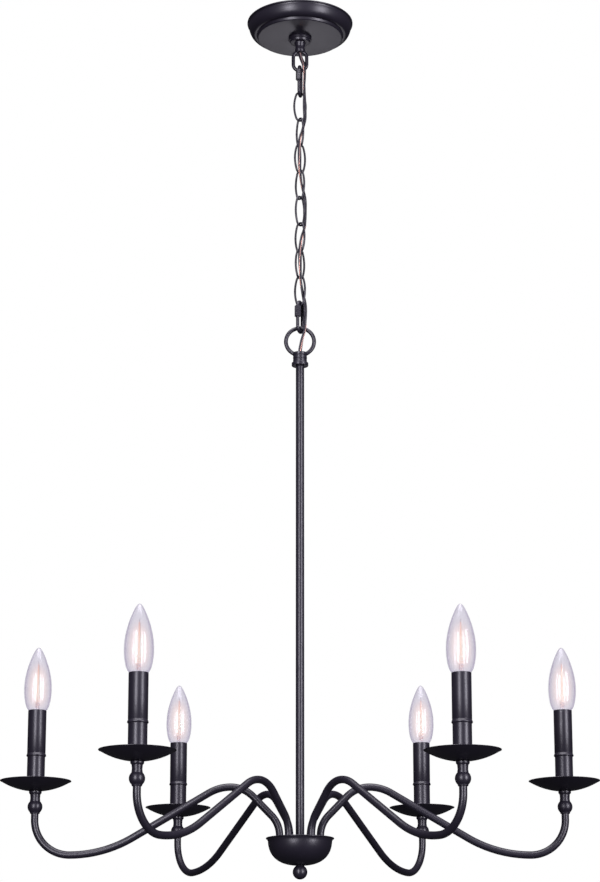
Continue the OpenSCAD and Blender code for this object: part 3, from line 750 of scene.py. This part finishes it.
def knuckleOutline():
    bottom, ball, radius = -33.2, 9.4, 4.8
    outline = [(4.85, bottom - 8.9), (5.9, bottom - 8.95, 0.5), (6.3, bottom - 7.3, 0.4)]
    outline += [(ball * sin(radians(a)), bottom - ball * cos(radians(a))) for a in range(44, 137, 4)]
    outline += [(6.5, bottom + 7.6, 0.5), (6.1, bottom + 10.5, 1.2), (6.5, -17.6, 0.5), (7.5, -16.3, 0.5),
                (8, -15.8, 0.5), (8, -13.5, 0.3), (radius, -13.28), (radius, -24), (4.85, -24.2)]
    return outline


def sleeveOutline():
    s = sleeve
    seat, groove, bore = s["seat"], s["radius"] - s["lineDepth"], s["radius"] - s["wall"]
    beadIn, beadRadius = s["radius"] - s["beadSunk"], s["beadRadius"]
    bead = [(beadIn + beadRadius * cos(radians(a)), s["bead"] + beadRadius * sin(radians(a)))
            for a in range(-72, 48, 8)]
    low = [(s["seatBore"], seat, 0.2), (s["radius"] - 0.1, seat + 0.2, 0.5), (s["low"] + 0.05, seat + 6, 3),
           (s["low"], s["bead"] - 1.6, 0.2)]
    line = [(s["radius"], s["line"] - 0.5), (groove, s["line"] - 0.2), (groove, s["line"] + 0.2),
            (s["radius"], s["line"] + 0.5)]
    rim = [(s["radius"], s["top"] - 20), (s["radius"], s["top"], 0.35), (bore, s["top"], 0.3),
           (bore, s["top"] - 40), (s["seatBore"], s["top"] - 44)]
    return low + bead + line + rim


def candleFeet():
    for k, angle in enumerate(candleRing["angles"]):
        reach = candleRing["radius"]
        yield k + 1, angle, (reach * cos(radians(angle)), reach * sin(radians(angle)), candleRing["rim"])


def makeCandles():
    panLine, sleeveLine, knuckleLine = panOutline(), rounded(sleeveOutline()), rounded(knuckleOutline())
    knuckles = []
    for number, angle, foot in candleFeet():
        build(f"dripPan{number}", [lathed(panLine, foot, 128)], [black], "frame", (f"pan_{number}",),
              sharp=50)
        build(f"candleSleeve{number}", [lathed(sleeveLine, foot, 96)], [black], "frame",
              (f"sleeve_{number}",))
        knuckles.append(lathed(knuckleLine, foot, 80))
    build("turnedKnuckles", knuckles, [black], "frame", ("knuckles",))


makeCandles()

lamp = {"neck": 10.15, "neckHeight": 90.1, "belly": 17.5, "bellyHeight": 117.7, "tip": 171.6, "wall": 0.9,
        "glassFoot": 72, "glow": 121, "sides": 96}
cap = {"radius": 5.75, "thread": 0.42, "foot": 50, "top": 69, "turns": 5}


def glassLine(wall):  # from the foot inside the sleeve, over the belly, to the drawn-out tip
    g = lamp
    line = [(6.4 - wall, g["glassFoot"]), (8.6 - wall, g["glassFoot"] + 4), (g["neck"] - wall, 83)]
    for k in range(25):
        a = pi / 2 * k / 24
        line.append((g["neck"] - wall + (g["belly"] - g["neck"]) * sin(a),
                     g["neckHeight"] + (g["bellyHeight"] - g["neckHeight"]) * (1 - cos(a))))
    for k in range(1, 41):
        a = pi / 2 * k / 40
        line.append(((g["belly"] - wall) * cos(a) ** 0.8 * (1 - 0.5 * sin(a) ** 2) * (k < 40),
                     g["bellyHeight"] + (g["tip"] - wall - g["bellyHeight"]) * sin(a)))
    return line


def glassShell(foot):
    sides = lamp["sides"]
    outer, inner = lathed(glassLine(0), foot, sides), lathed(glassLine(lamp["wall"]), foot, sides)
    base = len(outer[0])
    rim = [(k, (k + 1) % sides, base + (k + 1) % sides, base + k) for k in range(sides)]
    return outer[0] + inner[0], outer[1] + [tuple(base + k for k in face) for face in inner[1]] + rim


def capShells(foot):  # screw cap with rolled threads, black glass insulator and centre contact
    c = cap
    line = [(4.2, c["foot"] + 0.6), (4.9, c["foot"], 0.3)]
    steps = c["turns"] * 12
    for k in range(steps + 1):
        wave = 0.5 - 0.5 * cos(2 * pi * c["turns"] * k / steps)
        up = (c["top"] - c["foot"] - 5) * k / steps
        line.append((c["radius"] - 0.5 + c["thread"] * wave, c["foot"] + 1.6 + up))
    line += [(c["radius"] + 0.1, c["top"] - 2, 0.4), (6.3, c["top"] + 2.4, 0.5), (6.3, c["top"] + 4.6, 0.4),
             (5.6, c["top"] + 4.6), (4.6, c["top"]), (4.2, c["foot"] + 3)]
    insulator = [(0, 45.5), (2.6, 45.6, 0.3), (4.4, 48.6, 0.8), (4.85, c["foot"] + 0.5), (0, c["foot"] + 2)]
    contact = [(0, 44.05), (1.6, 44.15, 0.5), (2.3, 45.1, 0.4), (2.2, 46.2), (0, 46.2)]
    return [lathed(rounded(line), foot, 72) + (1,), lathed(rounded(insulator), foot, 48) + (2,),
            lathed(rounded(contact), foot, 32) + (3,)]


filament = {"foot": 93, "knee": 111, "top": 150, "wide": 2.6, "narrow": 0.85, "loose": 4.6, "tight": 1.5,
            "wire": 0.42, "squash": 0.5, "leadRadius": 0.2, "colour": (0.93, 0.52, 0.40)}


def stemGlass(foot):  # the flared inner tube that carries the filament
    line = [(0, 80), (7.2, 80.3, 0.3), (6.2, 83.5, 1), (3.2, 89, 3), (2.5, 95, 1), (2.9, 98.4, 0.8),
            (1.4, 100.4, 0.5), (0, 100.6)]
    return lathed(rounded(line), foot, 48)


def leadWires(foot):
    top = filament["top"]
    lines = [[(-1.1, 0, 90), (-1.1, 0, 98), (-2.1, 0.4, 100), (-1.4, 0, filament["foot"] + 0.6)],
             [(1.1, 0, 90), (1.1, 0, 98), (2.3, 0.6, 101), (2.1, 1.2, 125), (1.0, 0.8, top - 1)],
             [(0, 0.4, 98), (0, 1.6, 104), (0, 1.8, top - 4), (0, 1.2, top + 3), (0, 0.3, top + 4)]]
    wire = circle(filament["leadRadius"], 8)
    return [swept([Vector(foot) + Vector(p) for p in line], wire, (0.1, 1, 0)) for line in lines]


def filamentShells(foot):  # one wire: a loose zigzag at its foot, then a fine coil up to the hook
    f = filament
    path, turn, height = [], 0.0, f["foot"]
    while height < f["top"]:
        part = min(max((height - f["knee"] + 2) / 4, 0), 1)
        radius = f["wide"] + (f["narrow"] - f["wide"]) * part
        path.append(Vector(foot) + Vector((radius * cos(turn), radius * f["squash"] * sin(turn), height)))
        turn += pi / 6
        height += (f["loose"] + (f["tight"] - f["loose"]) * part) / 12
    return [swept(path, circle(f["wire"] / 2, 6), (0, 0, 1))]


def makeLamps():
    glass = clearGlass(candleRing["rim"] * mm, lamp["glow"] * mm)
    hot = glowing("lit filament", filament["colour"], 1.0)
    for number, angle, foot in candleFeet():
        body = f"bulb_{number}"
        shells = [glassShell(foot) + (0,)] + capShells(foot)
        build(f"lampEnvelope{number}", shells, [glass, lampCap, blackGlass, brassShell], body,
              (body,))
        inner = [stemGlass(foot) + (0,)] + [wire + (1,) for wire in leadWires(foot)]
        inner += [coil + (2,) for coil in filamentShells(foot)]
        build(f"lampMount{number}", inner, [glass, lampCap, hot], body, ())


makeLamps()
print("candles and lamps built")

# hidden hardware: the CAD nodes stay and take their finishes
hardware = {"strap": zinc, "strap_nut": zinc, "nipple": zinc, "arm_plate": zinc, "hub_nuts": zinc,
            "arm_nuts": zinc, "socket_nipples": zinc, "ground_screw": greenScrew(), "sockets": phenolic,
            "socket_shells": brassShell}
for node, material in hardware.items():
    nodes[node].data.materials.clear()
    nodes[node].data.materials.append(material)

studio = {"floor": -1.78, "backdrop": 1.0, "ambient": (0.80, 0.78, 0.90, 1), "ambientStrength": 0.035,
          "floorReach": 14, "floorGlow": 0.35}
softboxes = {  # place, aim, width, height, watts, tint, spread in degrees
    "leftBox": ((-1.05, -2.5, -0.55), (0, 0, -0.85), 0.62, 2.2, 40, (0.92, 0.89, 1.0), 150),
    "rightBox": ((2.0, -1.9, -0.5), (0, 0, -0.85), 0.75, 2.2, 44, (0.92, 0.89, 1.0), 150),
    "topBox": ((0, -0.6, 1.5), (0, 0, -1), 2.6, 2.0, 60, (0.96, 0.93, 1.0), 150),
    "canopyBox": ((0, 1.9, -1.0), (0, 0, 0), 1.0, 0.5, 0.075, (0.93, 0.90, 1.0), 24)}


def makeFloor():
    reach = studio["floorReach"]
    paint = Recipe("pale studio floor")
    cloud = paint.noise(1.5, 3.0)
    material = paint.finish(paint.principled({
        "Base Color": paint.between(cloud, (0.86, 0.86, 0.87), (0.90, 0.90, 0.91)), "Roughness": 0.7,
        "Emission Color": (1, 1, 1, 1), "Emission Strength": studio["floorGlow"]}))
    mesh = bpy.data.meshes.new("studioFloor")
    corners = [(-reach, -reach), (reach, -reach), (reach, reach), (-reach, reach)]
    mesh.from_pydata([(x, y, studio["floor"]) for x, y in corners], [], [(0, 1, 2, 3)])
    mesh.materials.append(material)
    floor = bpy.data.objects.new("studioFloor", mesh)
    bpy.context.scene.collection.objects.link(floor)
    floor.visible_diffuse = floor.visible_glossy = floor.visible_transmission = False


def makeLights():
    for name, (place, aim, width, height, watts, tint, spread) in softboxes.items():
        data = bpy.data.lights.new(name, "AREA")
        data.shape = "RECTANGLE"
        data.size, data.size_y = width, height
        data.energy = watts
        data.color = tint
        data.spread = radians(spread)
        light = bpy.data.objects.new(name, data)
        light.location = place
        light.rotation_euler = (Vector(aim) - Vector(place)).to_track_quat("-Z", "Y").to_euler()
        light.visible_camera = False
        bpy.context.scene.collection.objects.link(light)


def makeSky():  # white behind the object, and a dim lilac room around it
    sky = Recipe("studio", sky=True)
    white = sky.add("Background", {}, {"Color": (1, 1, 1, 1), "Strength": studio["backdrop"]})
    room = sky.add("Background", {}, {"Color": studio["ambient"], "Strength": studio["ambientStrength"]})
    seen = sky.add("LightPath", {}, {}, "Is Camera Ray")
    bpy.context.scene.world = sky.finish(sky.add("MixShader", {}, {0: seen, 1: room, 2: white}))


makeFloor()
makeLights()
makeSky()
bpy.context.scene.view_settings.view_transform = "Standard"
print("studio lit")
